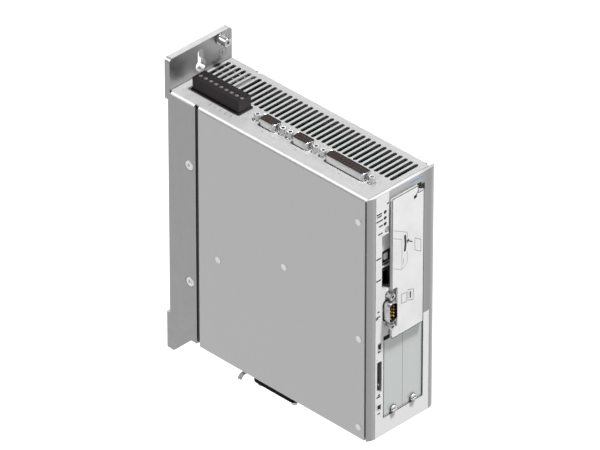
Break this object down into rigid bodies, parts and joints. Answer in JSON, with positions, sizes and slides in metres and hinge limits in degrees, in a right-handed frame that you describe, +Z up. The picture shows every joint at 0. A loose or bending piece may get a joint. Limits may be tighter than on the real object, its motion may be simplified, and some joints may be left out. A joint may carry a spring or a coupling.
{
  "type": "servo drive",
  "caption": "Slim wall-mounted servo drive: sheet-metal housing on a finned heat sink, connectors on top, front and underside, clip-on slot cover.",
  "frame": {"origin": "on the wall-side face of the mounting strap, on the strap's centre line, level with the underside of the housing", "axes": "+X to the drive's right seen from its front, +Y out of the back into the wall, +Z up; the front panel faces -Y"},
  "size_m": [0.0661, 0.2068, 0.2462],
  "materials": {
    "galvanised": "galvanised sheet steel, satin",
    "aluminium": "extruded aluminium with milled faces",
    "front_metal": "satin light grey metal",
    "label": "matt white foil",
    "white_cover": "fine-textured white plastic",
    "blank_sheet": "satin grey sheet",
    "black_plastic": "matt black glass-filled plastic",
    "nickel": "nickel-plated steel, bright",
    "zinc_steel": "zinc-plated steel",
    "insulator": "dark brown-black moulding",
    "lens": "dark tinted light guide",
    "grey_button": "matt grey plastic",
    "circuit_board": "green solder-resist laminate",
    "capacitor_sleeve": "dark shrink sleeve"
  },
  "bodies": {
    "drive": {"blank_plate_left": "blank_sheet", "blank_plate_right": "blank_sheet", "blank_screw_left": "zinc_steel", "blank_screw_right": "zinc_steel", "board_spacer_lower": "zinc_steel", "board_spacer_upper": "zinc_steel", "boot_switch": "black_plastic", "bottom_panel": "galvanised", "bus_port_insert": "insulator", "bus_port_jackscrew_a": "nickel", "bus_port_jackscrew_b": "nickel", "bus_port_shell": "nickel", "card_socket": "black_plastic", "control_board": "circuit_board", "earth_screw": "nickel", "encoder_port_insert": "insulator", "encoder_port_jackscrew_a": "nickel", "encoder_port_jackscrew_b": "nickel", "encoder_port_shell": "nickel", "fan_frame": "black_plastic", "feedback_port_insert": "insulator", "feedback_port_shell": "nickel", "front_label": "label", "front_plate": "front_metal", "heat_sink": "aluminium", "led_light_guide": "lens", "link_capacitor_lower": "capacitor_sleeve", "link_capacitor_upper": "capacitor_sleeve", "mains_choke": "insulator", "motor_plug": "black_plastic", "motor_plug_screw_a": "zinc_steel", "motor_plug_screw_b": "zinc_steel", "port_bezel": "blank_sheet", "power_board": "circuit_board", "power_module": "insulator", "reset_switch": "black_plastic", "resolver_port_insert": "insulator", "resolver_port_jackscrew_a": "nickel", "resolver_port_jackscrew_b": "nickel", "resolver_port_shell": "nickel", "rj45_socket": "black_plastic", "shield_clip": "zinc_steel", "side_cover_left": "galvanised", "side_cover_right": "galvanised", "signal_port_insert": "insulator", "signal_port_jackscrew_a": "nickel", "signal_port_jackscrew_b": "nickel", "signal_port_shell": "nickel", "strip_screw_lower": "zinc_steel", "strip_screw_upper": "zinc_steel", "supply_header": "black_plastic", "terminator_switch": "black_plastic", "top_panel": "galvanised", "usb_socket": "nickel"},
    "boot_lever": {"boot_lever": "grey_button"},
    "fan_rotor": {"fan_rotor": "black_plastic"},
    "reset_button": {"reset_button": "grey_button"},
    "slot_cover": {"slot_cover": "white_cover"},
    "supply_plug": {"supply_plug": "black_plastic"},
    "terminator_lever": {"terminator_lever": "grey_button"}
  },
  "joints": [
    {"name": "reset_press", "type": "slide", "parent": "drive", "child": "reset_button", "axis": [0, 1, 0], "range_m": [0, 0.0008], "stiffness_N_per_m": 600, "springref_m": -0.0008},
    {"name": "fan_spin", "type": "hinge", "parent": "drive", "child": "fan_rotor", "pos_m": [0.0083, -0.059, 0.0065], "axis": [0, 0, 1], "continuous": true},
    {"name": "terminator_slide", "type": "slide", "parent": "drive", "child": "terminator_lever", "axis": [0, 0, 1], "range_m": [0, 0.0024]},
    {"name": "boot_slide", "type": "slide", "parent": "drive", "child": "boot_lever", "axis": [0, 0, 1], "range_m": [0, 0.0016]},
    {"name": "slot_cover_pull", "type": "slide", "parent": "drive", "child": "slot_cover", "axis": [0, -1, 0], "range_m": [0, 0.015]},
    {"name": "supply_plug_pull", "type": "slide", "parent": "drive", "child": "supply_plug", "axis": [0, 0, 1], "range_m": [0, 0.012]}
  ]
}
